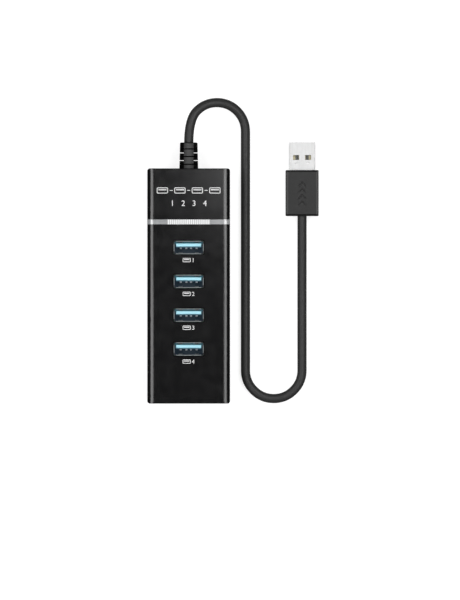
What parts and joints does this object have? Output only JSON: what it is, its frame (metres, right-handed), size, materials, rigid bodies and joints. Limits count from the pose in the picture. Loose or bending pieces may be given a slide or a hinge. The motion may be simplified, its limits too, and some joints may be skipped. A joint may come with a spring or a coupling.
{
  "type": "usb hub",
  "caption": "Slim upright-socket USB hub: a glossy bar housing with a row of sockets on its face, a lit strap across it, and a short fixed cable ending in a plug.",
  "frame": {"origin": "centre of the housing on the surface that its feet stand on", "axes": "+X to the right with the sockets facing the viewer and the cable leaving at the top, +Y towards the end where the cable leaves, +Z out of the socket face"},
  "size_m": [0.0753, 0.1346, 0.022],
  "materials": {
    "black_cover": "smooth glossy black",
    "black_base": "fine matt texture",
    "clear_guide": "clear moulded, ribbed in the middle",
    "foot_rubber": "matt",
    "screw_steel": "zinc plated",
    "board_green": "solder mask",
    "chip_black": "moulded epoxy",
    "ferrite": "matt",
    "can_steel": "satin",
    "can_aluminium": "satin",
    "fuse_green": "matt",
    "ceramic_tan": "matt",
    "light_white": "clear dome over a white body",
    "boot_rubber": "satin",
    "cable_jacket": "satin",
    "wire_insulation": "coloured insulation",
    "mould_white": "plain",
    "connector_steel": "tinned",
    "port_steel": "dark tinned",
    "white_print": "thin white ink",
    "contact_gold": "gold plated",
    "plug_gold": "gold plated, worn",
    "plug_plastic": "plain",
    "overmould_rubber": "fine matt texture",
    "port_blue": "plain"
  },
  "bodies": {
    "hub": {"top_cover": "black_cover", "bottom_cover": "black_base", "light_guide": "clear_guide", "rubber_feet": "foot_rubber", "case_screws": "screw_steel", "board_screws": "screw_steel", "circuit_board": "board_green", "hub_controller": "chip_black", "firmware_memory": "chip_black", "voltage_regulator": "chip_black", "power_inductor": "ferrite", "crystal": "can_steel", "bulk_capacitors": "can_aluminium", "port_fuses": "fuse_green", "chip_capacitors": "ceramic_tan", "chip_resistors": "chip_black", "band_lights": "light_white", "strain_relief": "boot_rubber", "cable_end_in_hub": "cable_jacket", "cable_wires": "wire_insulation", "cable": "cable_jacket", "cable_end_in_plug": "cable_jacket", "plug_inner_mould": "mould_white", "plug_shell": "connector_steel", "plug_flat_contacts": "plug_gold", "plug_insulator": "plug_plastic", "plug_overmould": "overmould_rubber", "port_1_shell": "port_steel", "port_1_fixed_contacts": "contact_gold", "port_1_insulator": "port_blue", "port_2_shell": "port_steel", "port_2_fixed_contacts": "contact_gold", "port_2_insulator": "port_blue", "port_3_shell": "port_steel", "port_3_fixed_contacts": "contact_gold", "port_3_insulator": "port_blue", "port_4_shell": "port_steel", "port_4_fixed_contacts": "contact_gold", "port_4_insulator": "port_blue"},
    "port_1_leaves": {"port_1_leaf_contacts": "contact_gold"},
    "port_2_leaves": {"port_2_leaf_contacts": "contact_gold"},
    "port_3_leaves": {"port_3_leaf_contacts": "contact_gold"},
    "port_4_leaves": {"port_4_leaf_contacts": "contact_gold"},
    "plug_leaves": {"plug_leaf_contacts": "plug_gold"}
  },
  "joints": [
    {"name": "port_1_leaf_flex", "type": "hinge", "parent": "hub", "child": "port_1_leaves", "pos_m": [0, 0.01781, 0.0106], "axis": [-1, 0, 0], "range_deg": [0, 4.8], "stiffness_Nm_per_rad": 0.3},
    {"name": "port_2_leaf_flex", "type": "hinge", "parent": "hub", "child": "port_2_leaves", "pos_m": [0, 0.00297, 0.0106], "axis": [-1, 0, 0], "range_deg": [0, 4.8], "stiffness_Nm_per_rad": 0.3},
    {"name": "port_3_leaf_flex", "type": "hinge", "parent": "hub", "child": "port_3_leaves", "pos_m": [0, -0.01187, 0.0106], "axis": [-1, 0, 0], "range_deg": [0, 4.8], "stiffness_Nm_per_rad": 0.3},
    {"name": "port_4_leaf_flex", "type": "hinge", "parent": "hub", "child": "port_4_leaves", "pos_m": [0, -0.02671, 0.0106], "axis": [-1, 0, 0], "range_deg": [0, 4.8], "stiffness_Nm_per_rad": 0.3},
    {"name": "plug_leaf_flex", "type": "hinge", "parent": "hub", "child": "plug_leaves", "pos_m": [0.04995, 0.0482, 0.00375], "axis": [-1, 0, 0], "range_deg": [0, 5], "stiffness_Nm_per_rad": 0.3}
  ]
}
